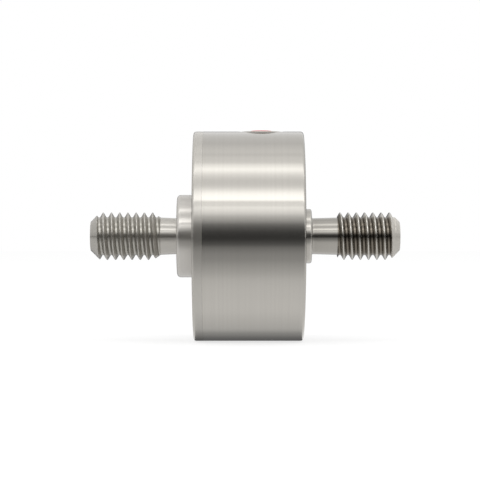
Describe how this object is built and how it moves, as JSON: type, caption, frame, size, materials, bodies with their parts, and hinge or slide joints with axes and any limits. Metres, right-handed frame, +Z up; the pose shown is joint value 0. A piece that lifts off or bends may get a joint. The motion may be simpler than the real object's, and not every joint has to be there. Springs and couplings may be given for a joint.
{
  "type": "pancake load cell",
  "caption": "Short stud-ended force sensor: a turned steel barrel with a threaded stud and seating boss on each face, a gauged membrane inside and a cable port on top, for pull and push",
  "frame": {"origin": "centre of the base boss's seating face, on the load axis", "axes": "+X along the load axis toward the load stud; +Z up through the cable port; the part lies on its barrel"},
  "size_m": [0.0375, 0.0254, 0.0255],
  "materials": {
    "turned_steel": "fine-turned stainless steel, satin with faint tool rings",
    "silicone_seal": "soft red silicone, satin",
    "circuit_board": "glass-epoxy board with green solder mask",
    "gauge_foil": "amber polyimide film with etched foil",
    "lead_wire": "enamelled copper wire with solder beads",
    "chip_body": "black chip resistor with tinned ends"
  },
  "bodies": {
    "root": {"sensing_element": "turned_steel", "base_cap": "turned_steel", "cable_bushing": "turned_steel", "cable_seal": "silicone_seal", "bridge_board": "circuit_board", "strain_gauge_1": "gauge_foil", "strain_gauge_2": "gauge_foil", "strain_gauge_3": "gauge_foil", "strain_gauge_4": "gauge_foil", "gauge_lead_1": "lead_wire", "gauge_lead_2": "lead_wire", "gauge_lead_3": "lead_wire", "gauge_lead_4": "lead_wire", "gauge_lead_5": "lead_wire", "gauge_lead_6": "lead_wire", "gauge_lead_7": "lead_wire", "gauge_lead_8": "lead_wire", "zero_balance_resistor": "chip_body", "zero_temperature_resistor": "chip_body", "span_resistor_1": "chip_body", "span_resistor_2": "chip_body"}
  },
  "joints": []
}
